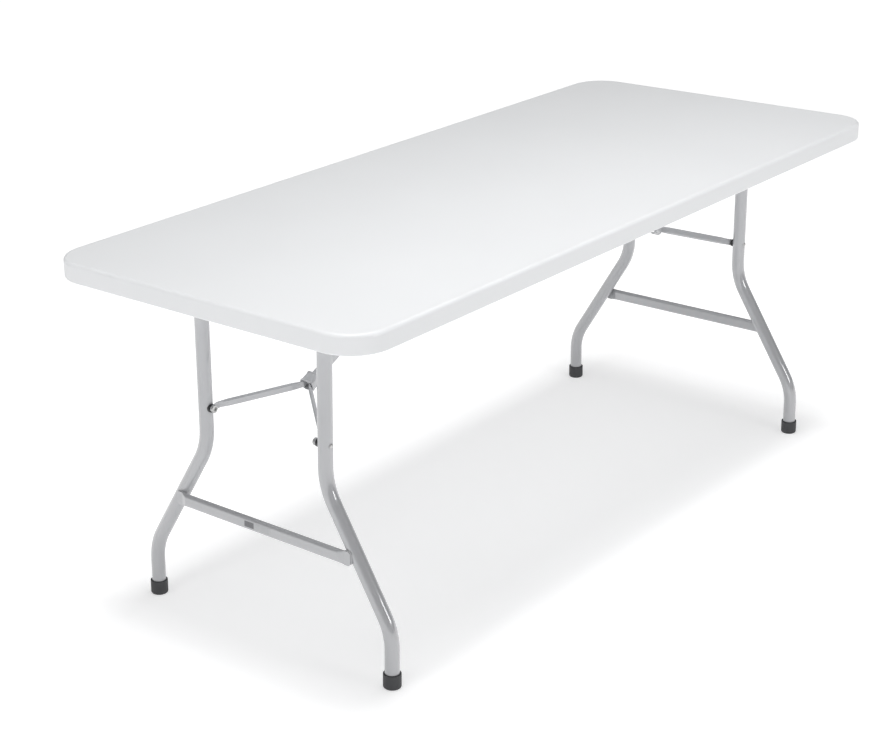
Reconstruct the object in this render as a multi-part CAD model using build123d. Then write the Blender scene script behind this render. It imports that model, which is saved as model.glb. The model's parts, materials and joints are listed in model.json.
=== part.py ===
"""Folding utility table on two hinged steel leg frames, in millimetres.

X runs along the table, Y across it and Z up. The origin is on the floor under the middle of the top.
Every piece of an end is modelled for the right-hand end (+X). The left-hand end is the same piece
turned half a turn about Z, because both ends are alike and each is symmetric front to rear.
"""
import math
import os

from build123d import *

# Table top: one hollow moulded panel with a deeper rim
TOP_LENGTH = 1828.8
TOP_WIDTH = 762.0
TOP_HEIGHT = 744.0
RIM_DEPTH = 38.0
RIM_WIDTH = 24.0
PANEL_THICKNESS = 24.0
SKIN = 2.5
RIM_WALL = 3.0
CORNER_RADIUS = 80.0
TOP_EDGE_RADIUS = 7.0
BOTTOM_EDGE_RADIUS = 2.5
RECESS_CORNER_RADIUS = 56.0
RECESS_EDGE_RADIUS = 4.0

# Tapered dimples that tie the panel's lower skin to its upper skin
DIMPLE_PITCH = 100.0
DIMPLE_ROWS = (40.0, 120.0, 200.0, 332.0)
DIMPLE_MOUTH_RADIUS = 12.0
DIMPLE_TIP_RADIUS = 5.0
DIMPLE_EDGE_GAP = 50.0

# Steel rails and beams in the recess under the top
RAIL_Y = 282.0
RAIL_WIDTH = 40.0
RAIL_HEIGHT = 14.0
RAIL_OVERHANG = 45.0
BEAM_WIDTH = 40.0
BEAM_HEIGHT = 12.0
SHEET = 1.2
SCREW_COUNT = 6
SCREW_END_INSET = 100.0
SCREW_RADIUS = 2.2
SCREW_DEPTH = 9.0
SCREW_HEAD_RADIUS = 5.0
SCREW_HEAD_HEIGHT = 2.6
SCREW_CROSS_LENGTH = 5.2
SCREW_CROSS_WIDTH = 1.2
SCREW_CROSS_DEPTH = 0.7
SCREW_BOSS_RADIUS = 8.0
RIVET_RADIUS = 2.5
RIVET_HEAD_RADIUS = 4.5
RIVET_HEAD_HEIGHT = 1.8

# Leg frame pivot
PIVOT_INSET = 174.5
PIVOT_DROP = 67.0
PIVOT_TUBE_RADIUS = 11.0
PIVOT_TUBE_WALL = 1.5
PIVOT_TUBE_PROUD = 12.0
STOP_BEAD_RADIUS = 13.0
STOP_BEAD_WIDTH = 3.0
STOP_BEAD_GAP = 0.6
BRACKET_SHEET = 3.0
BRACKET_EAR_RADIUS = 20.0
BRACKET_FOOT_LENGTH = 64.0
BRACKET_FOOT_WIDTH = 34.0
BRACKET_RIVET_SPACING = 46.0
BUSH_RADIUS = 13.5
BUSH_FLANGE_RADIUS = 16.0
BUSH_FLANGE = 1.5
RUNNING_GAP = 0.05

# Legs: two bent round tubes to a frame, splayed outwards to the floor
LEG_RADIUS = 14.3
LEG_WALL = 1.2
SPLAY = 1.09
LEG_TOP_Y = 153.1
UPPER_BEND_Y = 150.6
UPPER_BEND_DROP = 314.0
UPPER_BEND_RADIUS = 130.0
FOOT_Y = 305.6
LOWER_BEND_HEIGHT = 110.6
LOWER_BEND_RADIUS = 120.0
CAP_RADIUS = 17.5
CAP_HEIGHT = 30.0
CAP_FLOOR = 4.0
CAP_BOTTOM_RADIUS = 4.0
CAP_TOP_RADIUS = 1.5

# Crossbar: a flat-sided tube with crushed ends, welded outside the legs
CROSSBAR_HEIGHT = 240.7
CROSSBAR_TALL = 26.0
CROSSBAR_THICK = 13.0
CROSSBAR_WALL = 1.4
CROSSBAR_TAB_TALL = 28.0
CROSSBAR_TAB_THICK = 4.4
CROSSBAR_TAB_INWARD = 18.0
CROSSBAR_TAB_OUTWARD = -3.0
CROSSBAR_TAB_CORNER = 6.0
CROSSBAR_TAPER = 12.0
CRUSHED_GAP = 0.8

# Knee brace: two arms from the legs meet one link from the top, under a sliding lock sleeve
BRACE_DROP = 233.0
KNEE_INBOARD = 130.9
KNEE_DROP = 187.0
LINK_TALL = 16.0
LINK_WIDE = 13.0
LINK_WALL = 1.5
LINK_EDGE_RADIUS = 2.0
PIN_RADIUS = 4.0
PIN_HEAD_RADIUS = 5.5
KNEE_PIN_HEAD = 1.0
ARM_TALL = 15.5
ARM_THICK = 8.0
ARM_WALL = 1.2
ARM_TAPER = 16.0
ARM_TAB_TALL = 14.0
ARM_TAB_THICK = 3.0
ARM_INNER_TAB = 15.0
ARM_OUTER_TAB = 13.0
ARM_BEND_RADIUS = 12.0
ARM_SIDE_GAP = 0.4
SPACER_RADIUS = 8.5
SPACER_WIDTH = 3.2
SPACER_SADDLE_GAP = 0.1
SPACER_SIDE_GAP = 0.8
LEG_RIVET_RADIUS = 3.5
LEG_RIVET_HEAD_RADIUS = 5.2
LEG_RIVET_HEAD_HEIGHT = 2.4
COLLAR_RADIUS = 7.5
COLLAR_WIDTH = 4.0
COLLAR_EDGE_RADIUS = 1.0
COLLAR_SOCKET_RADIUS = 4.2
COLLAR_SOCKET_DEPTH = 2.5
SLEEVE_LENGTH = 25.0
SLEEVE_WALL = 1.5
SLEEVE_SIDE_GAP = 2.6
SLEEVE_TOP_GAP = 3.0
SLEEVE_CORNER_RADIUS = 7.5
SLEEVE_RIM = 1.0
SLEEVE_RIM_LENGTH = 3.0
SLEEVE_RIM_ROUND = 0.8
SLEEVE_OUTBOARD = 14.0
ANCHOR_EAR_GAP = 0.8
ANCHOR_EAR_RADIUS = 11.0
ANCHOR_BASE_LENGTH = 38.0
ANCHOR_RIVET_SPACING = 24.0
ANCHOR_PIN_HEAD = 2.0

# Places that follow from the sizes above
RIM_BOTTOM = TOP_HEIGHT - RIM_DEPTH
FIELD_Z = TOP_HEIGHT - PANEL_THICKNESS
RAIL_BOTTOM = FIELD_Z - RAIL_HEIGHT
RAIL_INNER_Y = RAIL_Y - RAIL_WIDTH / 2
PIVOT_X = TOP_LENGTH / 2 - PIVOT_INSET
PIVOT_Z = TOP_HEIGHT - PIVOT_DROP
LEG_LENGTH = PIVOT_Z / math.cos(math.radians(SPLAY))
BRACKET_Y = RAIL_INNER_Y + 2 * BRACKET_SHEET
KNEE_X = PIVOT_X - KNEE_INBOARD
KNEE_Z = PIVOT_Z - KNEE_DROP
BRACE_X = PIVOT_X + BRACE_DROP * math.sin(math.radians(SPLAY))
BRACE_Z = PIVOT_Z - BRACE_DROP * math.cos(math.radians(SPLAY))
ARM_REACH = math.hypot(BRACE_X - KNEE_X, KNEE_Z - BRACE_Z)
ARM_SLOPE = math.degrees(math.atan2(KNEE_Z - BRACE_Z, BRACE_X - KNEE_X))
# The link reaches the top where the folded link, arms and legs all lie in one line.
LINK_SHORTFALL = BRACE_DROP - ARM_REACH
LINK_RUN = (KNEE_INBOARD ** 2 + KNEE_DROP ** 2 - LINK_SHORTFALL ** 2) / (2 * (KNEE_INBOARD - LINK_SHORTFALL))
ANCHOR_X = PIVOT_X - LINK_RUN
LINK_LENGTH = LINK_RUN - LINK_SHORTFALL
LINK_SLOPE = math.degrees(math.asin(KNEE_DROP / LINK_LENGTH))
ARM_INNER_Y = LINK_WIDE / 2 + ARM_SIDE_GAP + ARM_TAB_THICK / 2
SLEEVE_WIDE = 2 * (ARM_INNER_Y + ARM_TAB_THICK / 2 + SLEEVE_SIDE_GAP + SLEEVE_WALL)
SLEEVE_TALL = LINK_TALL + 2 * (SLEEVE_TOP_GAP + SLEEVE_WALL)

ENDS = ("right", "left")
SIDES = (("front", -1), ("rear", 1))


def along_y(radius, start, stop, x=0.0, z=0.0):
    """A round bar along Y from start to stop."""
    middle = (x, (start + stop) / 2, z)
    return Pos(*middle) * Rotation(90, 0, 0) * Cylinder(radius, abs(stop - start))


def dome(radius, height):
    """A low round head on the XY plane."""
    ball = (radius ** 2 + height ** 2) / (2 * height)
    above = Box(2 * radius, 2 * radius, height, align=(Align.CENTER, Align.CENTER, Align.MIN))
    return (Pos(0, 0, height - ball) * Sphere(ball)) & above


def in_leg_frame(piece):
    """Moves a piece from leg coordinates (pivot at the origin, -Z down the leg) to its place."""
    return Pos(PIVOT_X, 0, PIVOT_Z) * Rotation(0, -SPLAY, 0) * piece


def at_end(piece, end):
    """Turns a right-hand piece to the named end."""
    return piece if end == "right" else piece.rotate(Axis.Z, 180)


def side_at_end(sign, end):
    """The Y sign, in the right-hand model, of the piece on the given side of an end."""
    return sign if end == "right" else -sign


def leg_y(drop):
    """Distance of a leg's centre line from the middle plane, at a distance down the leg."""
    lower_drop = LEG_LENGTH - LOWER_BEND_HEIGHT
    if drop <= UPPER_BEND_DROP:
        share = drop / UPPER_BEND_DROP
        return LEG_TOP_Y + share * (UPPER_BEND_Y - LEG_TOP_Y)
    share = min(1.0, (drop - UPPER_BEND_DROP) / (lower_drop - UPPER_BEND_DROP))
    return UPPER_BEND_Y + share * (FOOT_Y - UPPER_BEND_Y)


SPACER_FACE_Y = leg_y(BRACE_DROP) - LEG_RADIUS - SPACER_WIDTH
ARM_OUTER_Y = SPACER_FACE_Y - SPACER_SIDE_GAP - ARM_TAB_THICK / 2


def rounded_slab(length, width, corner, bottom, top):
    """A flat slab with rounded plan corners between two heights."""
    outline = Plane.XY.offset(bottom) * RectangleRounded(length, width, corner)
    return extrude(outline, top - bottom)


def dimple_places():
    """Centres of the dimples on the underside, clear of the rails and beams."""
    places = []
    columns = int((TOP_LENGTH / 2 - DIMPLE_EDGE_GAP) / DIMPLE_PITCH + 0.5)
    for column in range(columns):
        x = (column + 0.5) * DIMPLE_PITCH
        if abs(x - ANCHOR_X) < BEAM_WIDTH / 2 + DIMPLE_MOUTH_RADIUS:
            continue
        for y in DIMPLE_ROWS:
            if y > TOP_WIDTH / 2 - RIM_WIDTH - 2 * DIMPLE_MOUTH_RADIUS:
                continue
            if abs(y - RAIL_Y) < RAIL_WIDTH / 2 + DIMPLE_MOUTH_RADIUS:
                continue
            places += [(x, y), (-x, y), (x, -y), (-x, -y)]
    return places


def dimple_cones(extra, bottom, top):
    """All dimples as cones, grown by the given amount."""
    cone = Cone(DIMPLE_MOUTH_RADIUS + extra, DIMPLE_TIP_RADIUS + extra, top - bottom,
                align=(Align.CENTER, Align.CENTER, Align.MIN))
    return [Pos(x, y, bottom) * cone for x, y in dimple_places()]


def screw_places():
    """Centres of the rail screws."""
    reach = PIVOT_X + RAIL_OVERHANG - SCREW_END_INSET
    xs = [-reach + 2 * reach * index / (SCREW_COUNT - 1) for index in range(SCREW_COUNT)]
    return [(x, sign * RAIL_Y) for x in xs for sign in (-1, 1)]


def cavity_blank():
    """The hollow of the panel and its rim, before the dimples and bosses stand in it."""
    ceiling = TOP_HEIGHT - SKIN
    grow = RIM_WALL - RIM_WIDTH
    hollow = rounded_slab(TOP_LENGTH - 2 * RIM_WALL, TOP_WIDTH - 2 * RIM_WALL, CORNER_RADIUS - RIM_WALL,
                          RIM_BOTTOM + RIM_WALL, ceiling)
    hollow = fillet(hollow.faces().sort_by(Axis.Z)[-1].edges(), TOP_EDGE_RADIUS - SKIN)
    recess = rounded_slab(TOP_LENGTH + 2 * grow, TOP_WIDTH + 2 * grow, RECESS_CORNER_RADIUS + RIM_WALL,
                          RIM_BOTTOM, FIELD_Z + SKIN)
    return hollow - recess


def tabletop():
    """The hollow panel: outer shape, recess, cavity, dimples and screw bosses."""
    slab = rounded_slab(TOP_LENGTH, TOP_WIDTH, CORNER_RADIUS, RIM_BOTTOM, TOP_HEIGHT)
    slab = fillet(slab.faces().sort_by(Axis.Z)[-1].edges(), TOP_EDGE_RADIUS)
    slab = fillet(slab.faces().sort_by(Axis.Z)[0].edges(), BOTTOM_EDGE_RADIUS)
    recess = rounded_slab(TOP_LENGTH - 2 * RIM_WIDTH, TOP_WIDTH - 2 * RIM_WIDTH, RECESS_CORNER_RADIUS,
                          RIM_BOTTOM - 1, FIELD_Z)
    recess = fillet(recess.faces().sort_by(Axis.Z)[-1].edges(), RECESS_EDGE_RADIUS)
    slab -= recess
    cavity = cavity_blank() - dimple_cones(SKIN, FIELD_Z, TOP_HEIGHT)
    boss = Cylinder(SCREW_BOSS_RADIUS, PANEL_THICKNESS, align=(Align.CENTER, Align.CENTER, Align.MIN))
    cavity -= [Pos(x, y, FIELD_Z) * boss for x, y in screw_places()]
    slab -= cavity
    slab -= dimple_cones(0.0, FIELD_Z, TOP_HEIGHT - SKIN)
    hole = Cylinder(SCREW_RADIUS, SCREW_DEPTH, align=(Align.CENTER, Align.CENTER, Align.MIN))
    return slab - [Pos(x, y, FIELD_Z) * hole for x, y in screw_places()]


def channel(length, width, height, top):
    """A sheet channel along X, open upwards, with its lips at the given height."""
    outside = Box(length, width, height, align=(Align.CENTER, Align.CENTER, Align.MAX))
    inside = Box(length, width - 2 * SHEET, height - SHEET, align=(Align.CENTER, Align.CENTER, Align.MAX))
    lower_edges = outside.edges().filter_by(Axis.X).group_by(Axis.Z)[0]
    return Pos(0, 0, top) * (fillet(lower_edges, SHEET) - inside)


def rail(sign):
    """One lengthwise rail with its screw and rivet holes."""
    bar = Pos(0, sign * RAIL_Y, 0) * channel(2 * (PIVOT_X + RAIL_OVERHANG), RAIL_WIDTH, RAIL_HEIGHT, FIELD_Z)
    bar -= [Pos(x, y, RAIL_BOTTOM) * Cylinder(SCREW_RADIUS, 4 * SHEET) for x, y in screw_places()]
    return bar - [Pos(x, y, RAIL_BOTTOM) * Cylinder(RIVET_RADIUS, 4 * SHEET)
                  for x, y in bracket_rivet_places()]


def rail_screws():
    """All the screws that hold the rails to the panel."""
    head = Rotation(180, 0, 0) * dome(SCREW_HEAD_RADIUS, SCREW_HEAD_HEIGHT)
    shank = Cylinder(SCREW_RADIUS, RAIL_HEIGHT + SCREW_DEPTH, align=(Align.CENTER, Align.CENTER, Align.MIN))
    slot = Box(SCREW_CROSS_WIDTH, SCREW_CROSS_LENGTH, 2 * SCREW_CROSS_DEPTH)
    cross = slot + Rotation(0, 0, 90) * slot
    screw = head + shank - Pos(0, 0, -SCREW_HEAD_HEIGHT) * cross
    return Compound([Pos(x, y, RAIL_BOTTOM) * screw for x, y in screw_places()])


def link_beam():
    """The beam across the recess that carries the brace link's anchor."""
    bar = Rotation(0, 0, 90) * channel(2 * RAIL_INNER_Y, BEAM_WIDTH, BEAM_HEIGHT, FIELD_Z)
    bar = Pos(ANCHOR_X, 0, 0) * bar
    bottom = FIELD_Z - BEAM_HEIGHT
    return bar - [Pos(x, 0, bottom) * Cylinder(RIVET_RADIUS, 4 * SHEET) for x in anchor_rivet_xs()]


def anchor_rivet_xs():
    """X of the two rivets that hold the anchor bracket to its beam."""
    return [ANCHOR_X - ANCHOR_RIVET_SPACING / 2, ANCHOR_X + ANCHOR_RIVET_SPACING / 2]


def bracket_rivet_places():
    """Centres of the rivets that hold the four pivot brackets to the rails."""
    y = BRACKET_Y + BRACKET_FOOT_WIDTH / 2
    spots = []
    for x in (PIVOT_X - BRACKET_RIVET_SPACING / 2, PIVOT_X + BRACKET_RIVET_SPACING / 2):
        spots += [(x, y), (-x, y), (x, -y), (-x, -y)]
    return spots


def small_rivet(grip):
    """A rivet with a head below and a set head above, its lower head seat on the XY plane."""
    head = dome(RIVET_HEAD_RADIUS, RIVET_HEAD_HEIGHT)
    shank = Cylinder(RIVET_RADIUS, grip, align=(Align.CENTER, Align.CENTER, Align.MIN))
    return Rotation(180, 0, 0) * head + shank + Pos(0, 0, grip) * head


def bracket_rivets():
    """The rivets of the four pivot brackets."""
    rivet = small_rivet(BRACKET_SHEET + SHEET)
    bottom = RAIL_BOTTOM - BRACKET_SHEET
    return Compound([Pos(x, y, bottom) * rivet for x, y in bracket_rivet_places()])


def anchor_rivets():
    """The rivets of the anchor bracket."""
    rivet = small_rivet(BRACKET_SHEET + SHEET)
    bottom = FIELD_Z - BEAM_HEIGHT - BRACKET_SHEET
    return Compound([Pos(x, 0, bottom) * rivet for x in anchor_rivet_xs()])


def ear(radius, thickness, height):
    """A plate in the XZ plane: round about the origin, straight-sided up to the height."""
    disc = along_y(radius, 0, thickness)
    plate = Box(2 * radius, thickness, height, align=(Align.CENTER, Align.MIN, Align.MIN))
    return disc + plate


def pivot_bracket(sign):
    """An angle bracket under the rail that holds one pivot bush."""
    height = RAIL_BOTTOM - PIVOT_Z
    plate = Pos(0, BRACKET_Y - BRACKET_SHEET, 0) * ear(BRACKET_EAR_RADIUS, BRACKET_SHEET, height)
    foot = Box(BRACKET_FOOT_LENGTH, BRACKET_FOOT_WIDTH + BRACKET_SHEET, BRACKET_SHEET,
               align=(Align.CENTER, Align.MIN, Align.MAX))
    piece = plate + Pos(0, BRACKET_Y - BRACKET_SHEET, height) * foot
    piece -= along_y(BUSH_RADIUS, 0, 2 * BRACKET_Y)
    piece = Pos(PIVOT_X, 0, PIVOT_Z) * piece
    drill = Cylinder(RIVET_RADIUS, 4 * BRACKET_SHEET)
    piece -= [Pos(x, y, RAIL_BOTTOM) * drill for x, y in bracket_rivet_places()]
    return piece if sign > 0 else piece.mirror(Plane.XZ)


def pivot_bush(sign):
    """A plastic bush in the bracket, flanged on both faces."""
    inner = BRACKET_Y - BRACKET_SHEET
    piece = along_y(BUSH_RADIUS, inner, BRACKET_Y)
    piece += along_y(BUSH_FLANGE_RADIUS, inner - BUSH_FLANGE, inner)
    piece += along_y(BUSH_FLANGE_RADIUS, BRACKET_Y, BRACKET_Y + BUSH_FLANGE)
    piece -= along_y(PIVOT_TUBE_RADIUS + RUNNING_GAP, 0, 2 * BRACKET_Y)
    piece = Pos(PIVOT_X, 0, PIVOT_Z) * piece
    return piece if sign > 0 else piece.mirror(Plane.XZ)


def anchor_bracket():
    """A channel bracket whose two ears take the brace link's top pin."""
    height = FIELD_Z - BEAM_HEIGHT - PIVOT_Z
    inner = LINK_WIDE / 2 + ANCHOR_EAR_GAP
    outer = inner + BRACKET_SHEET
    base = Box(ANCHOR_BASE_LENGTH, 2 * outer, BRACKET_SHEET, align=(Align.CENTER, Align.CENTER, Align.MAX))
    piece = Pos(0, 0, height) * base
    piece += Pos(0, inner, 0) * ear(ANCHOR_EAR_RADIUS, BRACKET_SHEET, height)
    piece += Pos(0, -outer, 0) * ear(ANCHOR_EAR_RADIUS, BRACKET_SHEET, height)
    piece -= along_y(PIN_RADIUS, -2 * outer, 2 * outer)
    piece = Pos(ANCHOR_X, 0, PIVOT_Z) * piece
    bottom = FIELD_Z - BEAM_HEIGHT
    return piece - [Pos(x, 0, bottom) * Cylinder(RIVET_RADIUS, 4 * BRACKET_SHEET) for x in anchor_rivet_xs()]


def headed_pin(radius, half, head_radius, head_height):
    """A pin along Y with a low round head at each end."""
    head = dome(head_radius, head_height)
    return (along_y(radius, -half, half) + Pos(0, half, 0) * Rotation(-90, 0, 0) * head
            + Pos(0, -half, 0) * Rotation(90, 0, 0) * head)


def anchor_pin():
    """The pin through the anchor bracket and the brace link."""
    half = LINK_WIDE / 2 + ANCHOR_EAR_GAP + BRACKET_SHEET
    return Pos(ANCHOR_X, 0, PIVOT_Z) * headed_pin(PIN_RADIUS, half, PIN_HEAD_RADIUS, ANCHOR_PIN_HEAD)


def pivot_tube():
    """The cross tube that the legs hang from, with two stop beads."""
    half = BRACKET_Y + PIVOT_TUBE_PROUD
    bar = along_y(PIVOT_TUBE_RADIUS, -half, half)
    outer = BRACKET_Y - BRACKET_SHEET - BUSH_FLANGE - STOP_BEAD_GAP
    for sign in (-1, 1):
        bar += along_y(STOP_BEAD_RADIUS, sign * (outer - STOP_BEAD_WIDTH), sign * outer)
    bar -= along_y(PIVOT_TUBE_RADIUS - PIVOT_TUBE_WALL, -half, half)
    return in_leg_frame(bar)


def leg(sign):
    """One leg: a bent round tube, coped to the pivot tube at its top."""
    lower_drop = LEG_LENGTH - LOWER_BEND_HEIGHT
    points = [(0, sign * LEG_TOP_Y, 0),
              (0, sign * UPPER_BEND_Y, -UPPER_BEND_DROP),
              (0, sign * FOOT_Y, -lower_drop),
              (0, sign * FOOT_Y, CAP_FLOOR - LEG_LENGTH)]
    path = FilletPolyline(*points, radius=(UPPER_BEND_RADIUS, LOWER_BEND_RADIUS))
    start = Plane(origin=path @ 0, z_dir=path % 0)
    tube = sweep(start * (Circle(LEG_RADIUS) - Circle(LEG_RADIUS - LEG_WALL)), path=path)
    tube -= along_y(PIVOT_TUBE_RADIUS, 0, sign * 2 * LEG_TOP_Y)
    tube -= along_y(LEG_RIVET_RADIUS, 0, sign * 2 * LEG_TOP_Y, z=-BRACE_DROP)
    return in_leg_frame(tube)


def foot_cap(sign):
    """A plastic cap on a leg's foot, cut flat where it meets the floor."""
    solid = Cylinder(CAP_RADIUS, CAP_HEIGHT, align=(Align.CENTER, Align.CENTER, Align.MIN))
    solid = fillet(solid.faces().sort_by(Axis.Z)[0].edges(), CAP_BOTTOM_RADIUS)
    solid = fillet(solid.faces().sort_by(Axis.Z)[-1].edges(), CAP_TOP_RADIUS)
    bore = Cylinder(LEG_RADIUS, CAP_HEIGHT, align=(Align.CENTER, Align.CENTER, Align.MIN))
    rise = CAP_RADIUS * math.sin(math.radians(SPLAY))
    cap = in_leg_frame(Pos(0, sign * FOOT_Y, -LEG_LENGTH - rise) * solid)
    cap -= in_leg_frame(Pos(0, sign * FOOT_Y, CAP_FLOOR - LEG_LENGTH) * bore)
    below = Box(TOP_LENGTH, TOP_LENGTH, CAP_HEIGHT, align=(Align.CENTER, Align.CENTER, Align.MAX))
    return cap - Pos(PIVOT_X, 0, 0) * below


def slot_across_y(tall, thick, y):
    """A round-ended flat section across Y, standing up."""
    return Plane(origin=(0, y, 0), x_dir=(0, 0, 1), z_dir=(0, 1, 0)) * SlotOverall(tall, thick)


def slot_tube(tall, thick, start, stop, taper, end_tall, end_thick):
    """A solid flat-sided bar along Y, tapering to a thinner section over the taper at each end."""
    bar = extrude(slot_across_y(tall, thick, start + taper), stop - start - 2 * taper)
    for end, full in ((start, start + taper), (stop, stop - taper)):
        bar += loft([slot_across_y(end_tall, end_thick, end), slot_across_y(tall, thick, full)])
    return bar


def crushed_tube(tall, thick, wall, start, stop, taper, end_tall, end_thick):
    """The same bar, and the bore to cut from it: a tube crushed flat at both ends."""
    outside = slot_tube(tall, thick, start, stop, taper, end_tall, end_thick)
    bore = slot_tube(tall - 2 * wall, thick - 2 * wall, start, stop, taper, end_tall - 2 * wall, CRUSHED_GAP)
    return outside, bore


def crossbar():
    """The bar between the legs: flat-sided tube, tapering to crushed tabs on the legs."""
    drop = LEG_LENGTH - CROSSBAR_HEIGHT
    centre = leg_y(drop)
    reach = centre - CROSSBAR_TAB_INWARD
    outside, bore = crushed_tube(CROSSBAR_TALL, CROSSBAR_THICK, CROSSBAR_WALL, -reach, reach, CROSSBAR_TAPER,
                                 CROSSBAR_TAB_TALL, CROSSBAR_TAB_THICK)
    tab_length = CROSSBAR_TAB_INWARD + CROSSBAR_TAB_OUTWARD
    tab = Box(CROSSBAR_TAB_THICK, tab_length, CROSSBAR_TAB_TALL, align=(Align.CENTER, Align.MIN, Align.CENTER))
    tab = fillet(tab.edges().filter_by(Axis.X).group_by(Axis.Y)[-1], CROSSBAR_TAB_CORNER)
    tab = Pos(0, reach, 0) * tab
    bar = outside - bore + tab + tab.mirror(Plane.XZ)
    outboard = LEG_RADIUS + CROSSBAR_TAB_THICK / 2
    return in_leg_frame(Pos(outboard, 0, -drop) * bar)


def leg_rivets():
    """The brace rivets in the legs: outer heads, and shanks through both walls and the spacer."""
    outer = leg_y(BRACE_DROP) + LEG_RADIUS
    head = dome(LEG_RIVET_HEAD_RADIUS, LEG_RIVET_HEAD_HEIGHT)
    rivet = along_y(LEG_RIVET_RADIUS, SPACER_FACE_Y, outer) + Pos(0, outer, 0) * Rotation(-90, 0, 0) * head
    rivet = Pos(0, 0, -BRACE_DROP) * rivet
    return Compound([in_leg_frame(rivet), in_leg_frame(rivet.mirror(Plane.XZ))])


def brace_spacers():
    """The plastic spacers on the brace rivets, saddled to the legs."""
    centre = leg_y(BRACE_DROP)
    spacer = along_y(SPACER_RADIUS, SPACER_FACE_Y, centre)
    spacer -= Pos(0, centre, 0) * Cylinder(LEG_RADIUS + SPACER_SADDLE_GAP, 4 * SPACER_RADIUS)
    spacer -= along_y(LEG_RIVET_RADIUS + RUNNING_GAP, 0, centre)
    spacer = Pos(0, 0, -BRACE_DROP) * spacer
    return Compound([in_leg_frame(spacer), in_leg_frame(spacer.mirror(Plane.XZ))])


def in_link_frame(piece):
    """Moves a piece from link coordinates (knee at the origin, -X up the link) to its place."""
    return Pos(KNEE_X, 0, KNEE_Z) * Rotation(0, LINK_SLOPE, 0) * piece


def in_arm_frame(piece):
    """Moves a piece from arm coordinates (knee at the origin, +X towards the leg) to its place."""
    return Pos(KNEE_X, 0, KNEE_Z) * Rotation(0, ARM_SLOPE, 0) * piece


def upper_link():
    """The tube from the knee to the anchor, closed and rounded at both ends."""
    middle = -LINK_LENGTH / 2
    side = Plane(origin=(middle, 0, 0), x_dir=(1, 0, 0), z_dir=(0, -1, 0))
    outside = extrude(side * SlotCenterToCenter(LINK_LENGTH, LINK_TALL), LINK_WIDE / 2, both=True)
    flat_faces = outside.faces().filter_by(Axis.Y)
    outside = fillet(flat_faces.edges(), LINK_EDGE_RADIUS)
    inside_tall = LINK_TALL - 2 * LINK_WALL
    inside = extrude(side * SlotCenterToCenter(LINK_LENGTH, inside_tall), LINK_WIDE / 2 - LINK_WALL, both=True)
    piece = outside - inside
    for x in (0, -LINK_LENGTH):
        piece -= along_y(PIN_RADIUS + RUNNING_GAP, -LINK_WIDE, LINK_WIDE, x=x)
    return in_link_frame(piece)


def arm_strip():
    """The flat stock of an arm: both tabs with their eyes, and a strip from one to the other."""
    points = [(0, ARM_INNER_Y, 0), (ARM_INNER_TAB, ARM_INNER_Y, 0),
              (ARM_REACH - ARM_OUTER_TAB, ARM_OUTER_Y, 0), (ARM_REACH, ARM_OUTER_Y, 0)]
    path = FilletPolyline(*points, radius=ARM_BEND_RADIUS)
    start = Plane(origin=path @ 0, x_dir=(0, 0, 1), z_dir=path % 0)
    strip = sweep(start * SlotOverall(ARM_TAB_TALL, ARM_TAB_THICK), path=path)
    for x, y in ((0, ARM_INNER_Y), (ARM_REACH, ARM_OUTER_Y)):
        strip += along_y(ARM_TAB_TALL / 2, y - ARM_TAB_THICK / 2, y + ARM_TAB_THICK / 2, x=x)
    return strip


def brace_arm(sign):
    """An oval tube from the knee to a leg, crushed to a flat tab at each end."""
    run = ARM_REACH - ARM_OUTER_TAB - ARM_INNER_TAB
    spread = ARM_OUTER_Y - ARM_INNER_Y
    turn = math.atan2(run, spread)
    bend = ARM_BEND_RADIUS * math.tan((math.pi / 2 - turn) / 2)
    outside, bore = crushed_tube(ARM_TALL, ARM_THICK, ARM_WALL, bend, math.hypot(run, spread) - bend, ARM_TAPER,
                                 ARM_TAB_TALL, ARM_TAB_THICK)
    place = Pos(ARM_INNER_TAB, ARM_INNER_Y, 0) * Rotation(0, 0, -math.degrees(turn))
    piece = arm_strip() + place * outside - place * bore
    piece -= along_y(PIN_RADIUS, 0, 2 * ARM_INNER_Y)
    piece -= along_y(LEG_RIVET_RADIUS, 2 * ARM_INNER_Y, 2 * ARM_OUTER_Y, x=ARM_REACH)
    piece = piece if sign > 0 else piece.mirror(Plane.XZ)
    return in_arm_frame(piece)


def knee_pin():
    """The pin that joins the two arms to the link."""
    half = ARM_INNER_Y + ARM_TAB_THICK / 2
    return in_arm_frame(headed_pin(PIN_RADIUS, half, PIN_HEAD_RADIUS, KNEE_PIN_HEAD))


def brace_collars():
    """The inner ends of the brace rivets, in the arms' outer eyes."""
    face = ARM_OUTER_Y - ARM_TAB_THICK / 2
    collar = along_y(COLLAR_RADIUS, face - COLLAR_WIDTH, face)
    rim = collar.edges().filter_by(GeomType.CIRCLE).group_by(Axis.Y)[0]
    collar = fillet(rim, COLLAR_EDGE_RADIUS)
    collar += along_y(LEG_RIVET_RADIUS, face, face + ARM_TAB_THICK)
    collar -= along_y(COLLAR_SOCKET_RADIUS, face - COLLAR_WIDTH, face - COLLAR_WIDTH + COLLAR_SOCKET_DEPTH)
    collar = Pos(ARM_REACH, 0, 0) * collar
    return Compound([in_arm_frame(collar), in_arm_frame(collar.mirror(Plane.XZ))])


def sleeve_outline(growth, at):
    """The sleeve's outer outline across the link, grown by an amount, at a distance along the link."""
    across = Plane(origin=(at, 0, 0), x_dir=(0, 1, 0), z_dir=(-1, 0, 0))
    return across * RectangleRounded(SLEEVE_WIDE + 2 * growth, SLEEVE_TALL + 2 * growth,
                                     SLEEVE_CORNER_RADIUS + growth)


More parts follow.
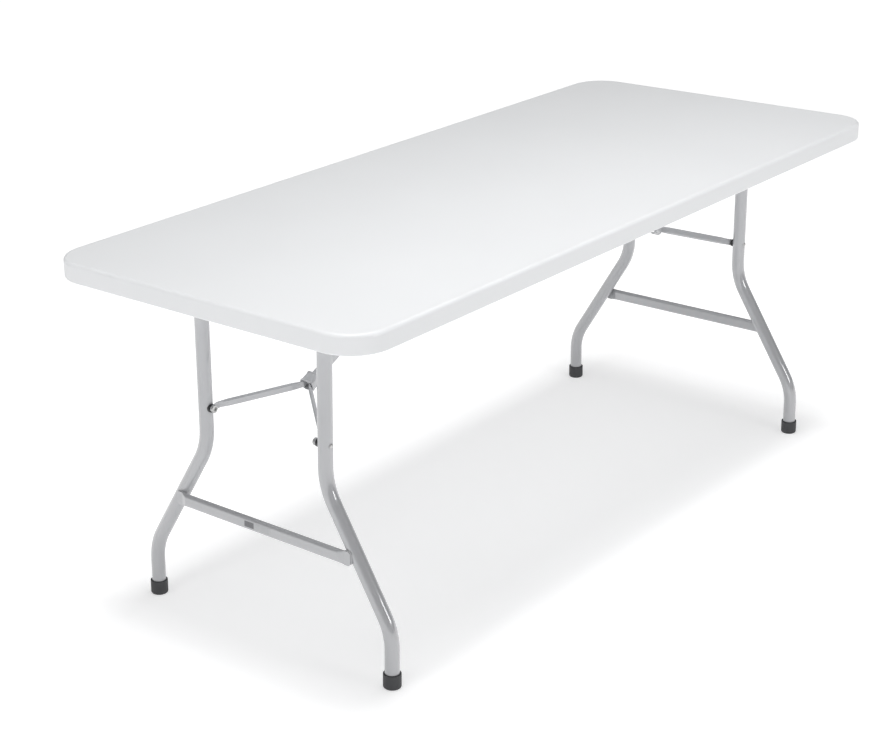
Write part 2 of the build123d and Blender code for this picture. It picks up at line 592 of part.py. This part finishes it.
def lock_sleeve():
    """The ring with rolled ends that slides over the knee and keeps the brace straight."""
    inboard_rim = SLEEVE_OUTBOARD - SLEEVE_LENGTH + SLEEVE_RIM_LENGTH
    sleeve = extrude(sleeve_outline(0, SLEEVE_OUTBOARD), SLEEVE_LENGTH)
    for at in (SLEEVE_OUTBOARD, inboard_rim):
        rim = extrude(sleeve_outline(SLEEVE_RIM, at), SLEEVE_RIM_LENGTH)
        corners = rim.edges().group_by(Axis.X)
        sleeve += fillet(corners[0] + corners[-1], SLEEVE_RIM_ROUND)
    return in_link_frame(sleeve - extrude(sleeve_outline(-SLEEVE_WALL, SLEEVE_OUTBOARD), SLEEVE_LENGTH))


def build():
    """All nodes by name."""
    nodes = {"tabletop": tabletop(), "rail_screws": rail_screws(), "bracket_rivets": bracket_rivets()}
    for side, sign in SIDES:
        nodes[f"rail_{side}"] = rail(sign)
    whole = {"link_beam": link_beam(), "anchor_bracket": anchor_bracket(), "anchor_rivets": anchor_rivets(),
             "anchor_pin": anchor_pin(), "pivot_tube": pivot_tube(), "crossbar": crossbar(),
             "leg_rivets": leg_rivets(), "brace_spacers": brace_spacers(), "upper_link": upper_link(),
             "knee_pin": knee_pin(), "brace_collars": brace_collars(), "lock_sleeve": lock_sleeve()}
    paired = {"pivot_bracket": pivot_bracket, "pivot_bush": pivot_bush, "leg": leg, "foot_cap": foot_cap,
              "brace_arm": brace_arm}
    for end in ENDS:
        for name, piece in whole.items():
            nodes[f"{name}_{end}"] = at_end(piece, end)
        for name, make in paired.items():
            for side, sign in SIDES:
                nodes[f"{name}_{end}_{side}"] = at_end(make(side_at_end(sign, end)), end)
    return nodes


os.makedirs("parts", exist_ok=True)
for node, shape in build().items():
    export_step(shape, f"parts/{node}.step")
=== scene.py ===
"""Looks of the folding table: camera, studio, materials and the small pieces that CAD leaves plain."""
import json
import math

import bmesh
import bpy
from mathutils import Matrix, Vector


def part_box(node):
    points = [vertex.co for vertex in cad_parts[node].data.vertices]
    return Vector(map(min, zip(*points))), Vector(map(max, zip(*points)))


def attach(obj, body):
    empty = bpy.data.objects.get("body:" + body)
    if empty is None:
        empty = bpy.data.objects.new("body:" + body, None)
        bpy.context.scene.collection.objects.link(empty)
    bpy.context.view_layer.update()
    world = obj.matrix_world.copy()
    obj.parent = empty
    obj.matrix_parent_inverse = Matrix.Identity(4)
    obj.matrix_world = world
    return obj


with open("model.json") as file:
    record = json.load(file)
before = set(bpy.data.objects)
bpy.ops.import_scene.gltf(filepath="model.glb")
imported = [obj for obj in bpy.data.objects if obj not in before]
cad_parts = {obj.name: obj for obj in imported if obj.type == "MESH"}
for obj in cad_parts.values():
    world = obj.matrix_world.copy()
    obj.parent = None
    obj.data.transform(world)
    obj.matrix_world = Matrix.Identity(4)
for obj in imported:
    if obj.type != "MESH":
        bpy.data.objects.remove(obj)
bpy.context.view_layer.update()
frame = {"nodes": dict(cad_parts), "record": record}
NODES = frame["nodes"]
ENDS = (("left", -1), ("right", 1))
SIDES = (("front", -1), ("rear", 1))


# Camera

CAMERA_PLACE = Vector((-3.1266, -2.2747, 1.8258))
CAMERA_AZIMUTH = -49.187
CAMERA_ELEVATION = 21.537
CAMERA_ROLL = -1.475
CAMERA_LENS = 77.517
CAMERA_SHIFT = (0.1053, 0.0038)


def make_camera():
    """A long lens from the front left, slightly rolled."""
    azimuth, elevation, roll = (math.radians(a) for a in (CAMERA_AZIMUTH, CAMERA_ELEVATION, CAMERA_ROLL))
    back = Vector((math.sin(azimuth) * math.cos(elevation), -math.cos(azimuth) * math.cos(elevation),
                   math.sin(elevation)))
    right = Vector((0, 0, 1)).cross(back).normalized()
    up = back.cross(right)
    tilted_right = right * math.cos(roll) + up * math.sin(roll)
    tilted_up = up * math.cos(roll) - right * math.sin(roll)
    data = bpy.data.cameras.new("camera")
    data.lens = CAMERA_LENS
    data.sensor_width = 36.0
    data.shift_x, data.shift_y = CAMERA_SHIFT
    camera = bpy.data.objects.new("camera", data)
    bpy.context.scene.collection.objects.link(camera)
    turn = Matrix((tilted_right, tilted_up, back)).transposed().to_4x4()
    camera.matrix_world = Matrix.Translation(CAMERA_PLACE) @ turn
    bpy.context.scene.camera = camera


# Node helpers

def new_material(name):
    """A material with one Principled shader, its node tree and that shader."""
    material = bpy.data.materials.new(name)
    material.use_nodes = True
    tree = material.node_tree
    return material, tree, tree.nodes["Principled BSDF"]


def add(tree, kind, **inputs):
    """A node with some of its sockets set; underscores in a name stand for spaces."""
    node = tree.nodes.new(kind)
    for name, value in inputs.items():
        node.inputs[name.replace("_", " ")].default_value = value
    return node


def object_coordinates(tree):
    """The output socket of object coordinates."""
    return tree.nodes.new("ShaderNodeTexCoord").outputs["Object"]


def noise(tree, place, scale, detail=2.0, roughness=0.5):
    """The value output of a noise texture."""
    node = add(tree, "ShaderNodeTexNoise", Scale=scale, Detail=detail, Roughness=roughness)
    tree.links.new(place, node.inputs["Vector"])
    return node.outputs["Fac"]


def between(tree, value, low, high):
    """A value from 0 to 1 mapped to low to high."""
    node = add(tree, "ShaderNodeMapRange", To_Min=low, To_Max=high)
    tree.links.new(value, node.inputs["Value"])
    return node.outputs["Result"]


def two_colours(tree, value, first, second):
    """A mix of two colours."""
    node = tree.nodes.new("ShaderNodeMix")
    node.data_type = "RGBA"
    node.inputs["A"].default_value = (*first, 1.0)
    node.inputs["B"].default_value = (*second, 1.0)
    tree.links.new(value, node.inputs["Factor"])
    return node.outputs["Result"]


def calculate(tree, operation, first, second):
    """The result of an operation on a socket and another socket or a number."""
    node = tree.nodes.new("ShaderNodeMath")
    node.operation = operation
    tree.links.new(first, node.inputs[0])
    if isinstance(second, float):
        node.inputs[1].default_value = second
    else:
        tree.links.new(second, node.inputs[1])
    return node.outputs["Value"]


def beyond(tree, value, limit):
    """How far a value's size is past a limit."""
    size = calculate(tree, "ABSOLUTE", value, 0.0)
    return calculate(tree, "SUBTRACT", size, limit)


def bump(tree, height, distance, strength=1.0, base=None):
    """A bump normal, in metres, on top of another."""
    node = add(tree, "ShaderNodeBump", Distance=distance, Strength=strength)
    tree.links.new(height, node.inputs["Height"])
    if base is not None:
        tree.links.new(base, node.inputs["Normal"])
    return node.outputs["Normal"]


# Materials

# The label's ends along the crossbar, the place where its dark block starts, and how sharp that edge is
LABEL_Y = (-0.028, 0.037)
LABEL_SPLIT_Y = 0.013
LABEL_SPLIT_EDGE = 0.0003


def moulded_plastic(name, light, dark, rough, grain_size, grain_depth):
    """Moulded plastic: faint cloudy colour, a fine pebble grain and a little unevenness of gloss."""
    material, tree, shader = new_material(name)
    place = object_coordinates(tree)
    clouds = noise(tree, place, 3.0, 3.0)
    tree.links.new(two_colours(tree, clouds, dark, light), shader.inputs["Base Color"])
    tree.links.new(between(tree, noise(tree, place, 9.0, 2.0), *rough), shader.inputs["Roughness"])
    waves = bump(tree, noise(tree, place, 7.0, 1.0), 0.0006, 0.6)
    grain = bump(tree, noise(tree, place, 1.0 / grain_size, 3.0, 0.6), grain_depth, 1.0, waves)
    tree.links.new(grain, shader.inputs["Normal"])
    return material


def powder_coat(name, light, dark):
    """Light grey powder coat over steel: orange peel and slight specks under a glossy skin."""
    material, tree, shader = new_material(name)
    place = object_coordinates(tree)
    tree.links.new(two_colours(tree, noise(tree, place, 14.0, 3.0), dark, light), shader.inputs["Base Color"])
    tree.links.new(between(tree, noise(tree, place, 40.0, 2.0), 0.3, 0.42), shader.inputs["Roughness"])
    peel = bump(tree, noise(tree, place, 420.0, 1.0), 0.00005, 0.6)
    tree.links.new(peel, shader.inputs["Normal"])
    shader.inputs["Coat Weight"].default_value = 1.0
    shader.inputs["Coat Roughness"].default_value = 0.03
    shader.inputs["Coat IOR"].default_value = 1.9
    return material


def plated_steel(name):
    """Dull zinc plate with fine scratches."""
    material, tree, shader = new_material(name)
    place = object_coordinates(tree)
    tree.links.new(two_colours(tree, noise(tree, place, 60.0, 4.0), (0.42, 0.42, 0.41), (0.6, 0.6, 0.6)),
                   shader.inputs["Base Color"])
    tree.links.new(between(tree, noise(tree, place, 220.0, 3.0), 0.3, 0.5), shader.inputs["Roughness"])
    tree.links.new(bump(tree, noise(tree, place, 900.0, 2.0), 0.00003), shader.inputs["Normal"])
    shader.inputs["Metallic"].default_value = 1.0
    return material


def printed_label(name):
    """A thin printed label: a plain dark block at one end of a pale field, with worn print."""
    material, tree, shader = new_material(name)
    place = object_coordinates(tree)
    split = tree.nodes.new("ShaderNodeSeparateXYZ")
    tree.links.new(place, split.inputs["Vector"])
    block = add(tree, "ShaderNodeMapRange", From_Min=LABEL_SPLIT_Y - LABEL_SPLIT_EDGE,
                From_Max=LABEL_SPLIT_Y + LABEL_SPLIT_EDGE)
    tree.links.new(split.outputs["Y"], block.inputs["Value"])
    colour = two_colours(tree, block.outputs["Result"], (0.5, 0.51, 0.52), (0.11, 0.11, 0.12))
    worn = tree.nodes.new("ShaderNodeMix")
    worn.data_type = "RGBA"
    worn.inputs["B"].default_value = (0.42, 0.43, 0.44, 1.0)
    tree.links.new(colour, worn.inputs["A"])
    tree.links.new(between(tree, noise(tree, place, 900.0, 4.0), -0.3, 0.7), worn.inputs["Factor"])
    tree.links.new(worn.outputs["Result"], shader.inputs["Base Color"])
    shader.inputs["Roughness"].default_value = 0.35
    return material


TOP_WHITE = moulded_plastic("top_white", (0.82, 0.83, 0.84), (0.80, 0.81, 0.822), (0.36, 0.46), 0.0011, 0.00007)
CHARCOAL = moulded_plastic("charcoal_plastic", (0.055, 0.056, 0.06), (0.042, 0.043, 0.046), (0.5, 0.62),
                           0.0016, 0.0001)
BLACK_NYLON = moulded_plastic("black_nylon", (0.03, 0.03, 0.032), (0.02, 0.02, 0.021), (0.4, 0.5), 0.002, 0.00004)
GREY_COAT = powder_coat("grey_powder_coat", (0.43, 0.435, 0.45), (0.40, 0.405, 0.42))
ZINC = plated_steel("zinc_plate")
LABEL = printed_label("label_print")
SLOT_LOOKS = {"top_plastic": TOP_WHITE, "cap_plastic": CHARCOAL, "bush_plastic": BLACK_NYLON,
              "leg_paint": GREY_COAT, "frame_paint": GREY_COAT, "plated_steel": ZINC}


def dress_cad_nodes():
    """Gives every CAD node the material of its slot."""
    for row in frame["record"]["subparts"]:
        mesh = NODES[row["node"]].data
        mesh.materials.clear()
        mesh.materials.append(SLOT_LOOKS[row["material_slot"]])


# Small pieces that the CAD model leaves out

# The leg's tube and its two tilts where the crossbar joins it
LEG_RADIUS = 0.0143
LEG_SPLAY = math.radians(1.09)
LEG_LEAN = math.radians(25.4)

# The crossbar, and the tabs at its ends
BAR_THICK = 0.013
TAB_OUTWARD = -0.003
TAB_CORNER = 0.006
TAB_THICK = 0.0044

# The weld beads: where one starts along a tab's edge, how far round the leg it goes, and its shape
WELD_START = -0.015
WELD_STRAIGHT_END = -0.011
WELD_REACH = 0.0085
WELD_RADIUS = 0.0014
WELD_SPACING = WELD_RADIUS / 2
WELD_SINK = 0.0006
WELD_EDGE_INSET = 0.0001
WELD_RIPPLE = 0.0035
WELD_RIPPLE_HEIGHT = 0.14
WELD_END_SIZE = 0.35
WELD_END_GROWTH = 0.12
WELD_SIDES = 10
CORNER_STEPS = 6

# The label, and how far the bar's face at mid height stands inside the bar's box because of the splay
LABEL_TALL = 0.012
LABEL_THICK = 0.0002
LABEL_CORNER = 0.0015
LABEL_CORNER_STEPS = 4
BAR_TILT_ALLOWANCE = 0.00015


def piece_from(name, mesh_build, material, body):
    """A new object from a bmesh, with its finish and the body that it rides on."""
    mesh = bpy.data.meshes.new(name)
    mesh_build.to_mesh(mesh)
    mesh_build.free()
    mesh.materials.append(material)
    mesh.shade_smooth()
    piece = bpy.data.objects.new(name, mesh)
    bpy.context.scene.collection.objects.link(piece)
    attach(piece, body)
    return piece


def tab_edge(half_tall):
    """The weld's route round a tab's end, as (outward, up) from the tab's end centre."""
    route = [(WELD_START, half_tall), (WELD_STRAIGHT_END, half_tall)]
    for sign in (1, -1):
        turns = range(CORNER_STEPS + 1) if sign > 0 else range(CORNER_STEPS, -1, -1)
        for step in turns:
            angle = math.pi / 2 * (1 - step / CORNER_STEPS)
            route.append((-TAB_CORNER + TAB_CORNER * math.cos(angle),
                          sign * (half_tall - TAB_CORNER + TAB_CORNER * math.sin(angle))))
    return route


def evenly(route, spacing):
    """Points at an even spacing along a route of plane points."""
    lengths = [math.dist(a, b) for a, b in zip(route, route[1:])]
    count = int(sum(lengths) / spacing)
    points = []
    for index in range(count + 1):
        distance = sum(lengths) * index / count
        for (a, b), length in zip(zip(route, route[1:]), lengths):
            if distance <= length or (a, b) == (route[-2], route[-1]):
                share = min(1.0, distance / length)
                points.append((a[0] + share * (b[0] - a[0]), a[1] + share * (b[1] - a[1])))
                break
            distance -= length
    return points


def off_centre(point):
    """How far a point of the weld's route lies from the leaning leg's centre line."""
    outward, up = point
    return (TAB_OUTWARD + outward) * math.cos(LEG_LEAN) + up * math.sin(LEG_LEAN)


def weld_bead(end, x_sign, side, y_sign):
    """A rippled fillet weld that joins one crossbar tab to its leg."""
    low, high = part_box(f"crossbar_{end}")
    middle_z = (low[2] + high[2]) / 2
    half_tall = (high[2] - low[2]) / 2 - WELD_EDGE_INSET
    tab_face_x = max(abs(low[0]), abs(high[0])) - (BAR_THICK - TAB_THICK) / 2
    seat_x = tab_face_x - TAB_THICK
    route = [point for point in evenly(tab_edge(half_tall), WELD_SPACING) if abs(off_centre(point)) < WELD_REACH]
    build = bmesh.new()
    rings = []
    for index, (outward, up) in enumerate(route):
        depth = LEG_RADIUS - math.sqrt(LEG_RADIUS ** 2 - off_centre((outward, up)) ** 2)
        ends = min(1.0, WELD_END_SIZE + min(index, len(route) - 1 - index) * WELD_END_GROWTH)
        wave = 1.0 + WELD_RIPPLE_HEIGHT * math.sin(2 * math.pi * index * WELD_SPACING / WELD_RIPPLE)
        radius = (WELD_RADIUS + depth / 2) * ends * wave
        centre = Vector((seat_x + WELD_SINK - depth / 2 - up * math.tan(LEG_SPLAY), high[1] + outward,
                         middle_z + up))
        before, after = route[max(0, index - 1)], route[min(len(route) - 1, index + 1)]
        along = Vector((0.0, after[0] - before[0], after[1] - before[1])).normalized()
        across = along.cross(Vector((1, 0, 0)))
        ring = []
        for turn in range(WELD_SIDES):
            angle = 2 * math.pi * turn / WELD_SIDES
            point = centre + radius * (math.cos(angle) * across + math.sin(angle) * Vector((1, 0, 0)))
            ring.append(build.verts.new((x_sign * point.x, y_sign * point.y, point.z)))
        rings.append(ring)
    for first, second in zip(rings, rings[1:]):
        for turn in range(WELD_SIDES):
            following = (turn + 1) % WELD_SIDES
            build.faces.new((first[turn], first[following], second[following], second[turn]))
    build.faces.new(rings[0])
    build.faces.new(rings[-1])
    bmesh.ops.recalc_face_normals(build, faces=build.faces)
    piece_from(f"weld_{end}_{side}", build, GREY_COAT, f"leg_frame_{end}")


def crossbar_label():
    """A small blank label on the flat outer face of the left crossbar."""
    low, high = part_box("crossbar_left")
    middle_z = (low[2] + high[2]) / 2
    width = LABEL_Y[1] - LABEL_Y[0]
    build = bmesh.new()
    outline = []
    for corner, (y_sign, z_sign) in enumerate(((1, 1), (-1, 1), (-1, -1), (1, -1))):
        for step in range(LABEL_CORNER_STEPS + 1):
            angle = math.pi / 2 * (corner + step / LABEL_CORNER_STEPS)
            outline.append((y_sign * (width / 2 - LABEL_CORNER) + LABEL_CORNER * math.cos(angle),
                            z_sign * (LABEL_TALL / 2 - LABEL_CORNER) + LABEL_CORNER * math.sin(angle)))
    face_x = low[0] + BAR_TILT_ALLOWANCE
    layers = []
    for proud in (0.0, LABEL_THICK):
        layers.append([build.verts.new((face_x - proud + z * math.tan(LEG_SPLAY),
                                        (LABEL_Y[0] + LABEL_Y[1]) / 2 + y, middle_z + z)) for y, z in outline])
    back, front = layers
    build.faces.new(front)
    build.faces.new(list(reversed(back)))
    for index in range(len(outline)):
        following = (index + 1) % len(outline)
        build.faces.new((back[index], back[following], front[following], front[index]))
    bmesh.ops.recalc_face_normals(build, faces=build.faces)
    label = piece_from("crossbar_label", build, LABEL, "leg_frame_left")
    label.data.shade_flat()


# Studio

FLOOR_SIZE = 60.0
# The floor glows, and its glow paints a shadow: least in a soft rectangle under the table (a painted shadow over
# the lamps' real one), a little more around it, and most far off
PAINTED_SHADOW_HALF_X = 0.84
PAINTED_SHADOW_HALF_Y = 0.36
PAINTED_SHADOW_SOFT = 0.05
GLOW_IN_PAINTED_SHADOW = 0.51
GLOW_NEAR_RISE = 0.1
GLOW_FAR_RISE = 0.08
GLOW_FAR_REACH = 1.8


def make_floor():
    """A wide white glowing floor, bright enough to burn out except under the table, where the lamps' real shadow
    falls and a painted shadow lowers the glow.
    """
    bpy.ops.mesh.primitive_plane_add(size=FLOOR_SIZE, location=(0, 0, 0))
    floor = bpy.context.active_object
    floor.name = "floor"
    material, tree, shader = new_material("studio_floor")
    shader.inputs["Base Color"].default_value = (0.68, 0.68, 0.685, 1.0)
    shader.inputs["Roughness"].default_value = 1.0
    shader.inputs["Specular IOR Level"].default_value = 0.0
    shader.inputs["Emission Color"].default_value = (1.0, 1.0, 1.0, 1.0)
    split = tree.nodes.new("ShaderNodeSeparateXYZ")
    tree.links.new(object_coordinates(tree), split.inputs["Vector"])
    # Painted shadow: the glow is lowered inside a soft-edged rectangle under the table and rises past its edges
    past_painted_shadow = calculate(tree, "MAXIMUM", beyond(tree, split.outputs["X"], PAINTED_SHADOW_HALF_X),
                        beyond(tree, split.outputs["Y"], PAINTED_SHADOW_HALF_Y))
    near = add(tree, "ShaderNodeMapRange", From_Min=-PAINTED_SHADOW_SOFT, From_Max=PAINTED_SHADOW_SOFT, To_Max=GLOW_NEAR_RISE)
    far = add(tree, "ShaderNodeMapRange", From_Min=PAINTED_SHADOW_SOFT, From_Max=GLOW_FAR_REACH, To_Max=GLOW_FAR_RISE)
    for rise in (near, far):
        tree.links.new(past_painted_shadow, rise.inputs["Value"])
    rises = calculate(tree, "ADD", near.outputs["Result"], far.outputs["Result"])
    tree.links.new(calculate(tree, "ADD", rises, GLOW_IN_PAINTED_SHADOW), shader.inputs["Emission Strength"])
    floor.data.materials.append(material)


def soft_light(name, place, aim, size, watts):
    """A rectangular soft box that points at a place and that the camera doesn't see."""
    data = bpy.data.lights.new(name, "AREA")
    data.shape = "RECTANGLE"
    data.size, data.size_y = size
    data.energy = watts
    light = bpy.data.objects.new(name, data)
    bpy.context.scene.collection.objects.link(light)
    light.location = place
    light.visible_camera = False
    light.rotation_euler = (Vector(aim) - Vector(place)).to_track_quat("-Z", "Y").to_euler()


def make_studio():
    """Pale surroundings and four soft boxes."""
    world = bpy.data.worlds.new("studio")
    world.use_nodes = True
    background = world.node_tree.nodes["Background"]
    background.inputs["Color"].default_value = (1.0, 1.0, 1.0, 1.0)
    background.inputs["Strength"].default_value = 0.24
    bpy.context.scene.world = world
    bpy.context.scene.view_settings.view_transform = "Standard"
    soft_light("ceiling", (0, 0.012, 12.0), (0, 0.012, 0), (3.5, 3.5), 600.0)
    soft_light("strip", (-0.4, -0.45, 1.9), (-0.4, -0.45, 0), (2.6, 0.4), 10.5)
    soft_light("left_panel", (-4.0, 0.2, 1.5), (0, 0, 0.6), (1.2, 1.2), 19.5)
    soft_light("front_box", (0.1, -4.85, 1.8), (0.1, -0.25, 0.3), (1.4, 1.1), 34.0)


make_camera()
dress_cad_nodes()
for end_name, end_sign in ENDS:
    for side_name, side_sign in SIDES:
        weld_bead(end_name, end_sign, side_name, side_sign)
crossbar_label()
make_floor()
make_studio()
